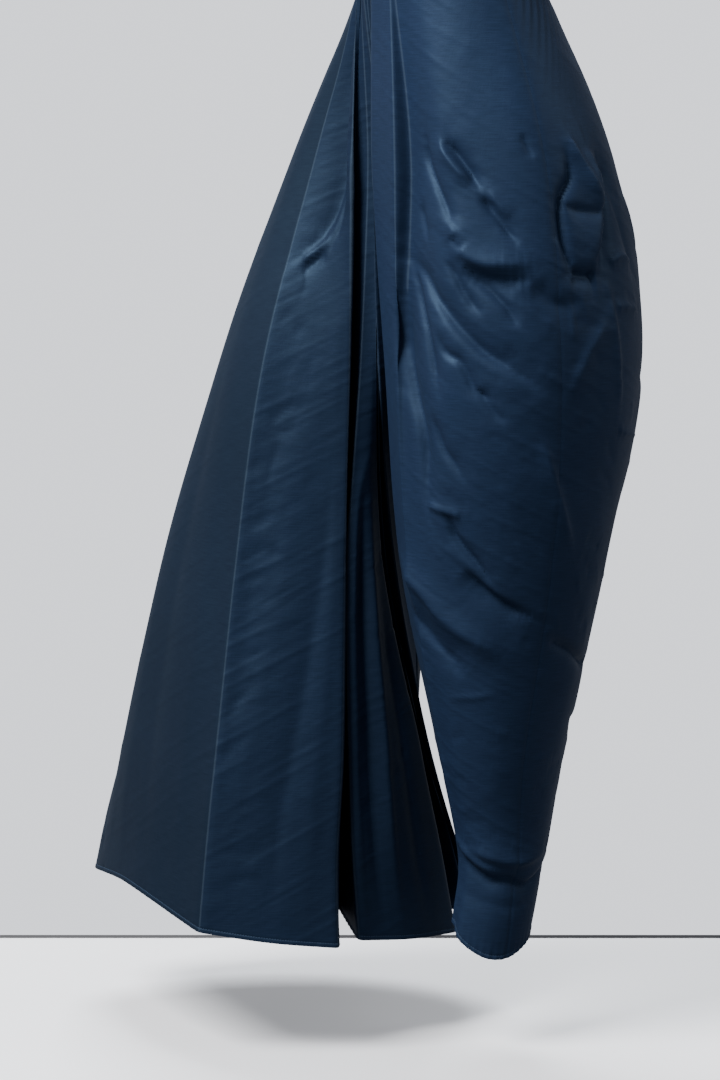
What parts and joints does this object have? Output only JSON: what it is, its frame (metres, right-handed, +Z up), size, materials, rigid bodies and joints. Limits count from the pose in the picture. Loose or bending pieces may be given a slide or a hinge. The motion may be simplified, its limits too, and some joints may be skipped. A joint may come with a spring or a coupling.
{
  "type": "dhoti trousers",
  "caption": "Asymmetric dhoti trousers in navy taffeta: a wide right leg with a pleated front drape and a full, tapered left leg, in a worn, walking shape.",
  "frame": {"origin": "on the body's axis, in the middle of the waist opening, half way up the waistband", "axes": "+Z up, +X to the wearer's left, -Y to the wearer's front"},
  "size_m": [0.5206, 0.5037, 1.0847],
  "materials": {
    "taffeta": "crisp woven silk-like taffeta with a soft sheen, fine slubs and small crinkles"
  },
  "bodies": {
    "root": {"waistband_front": "taffeta", "waistband_back": "taffeta", "left_front": "taffeta", "left_back": "taffeta", "right_pleats": "taffeta", "right_front": "taffeta", "right_back": "taffeta"}
  },
  "joints": []
}
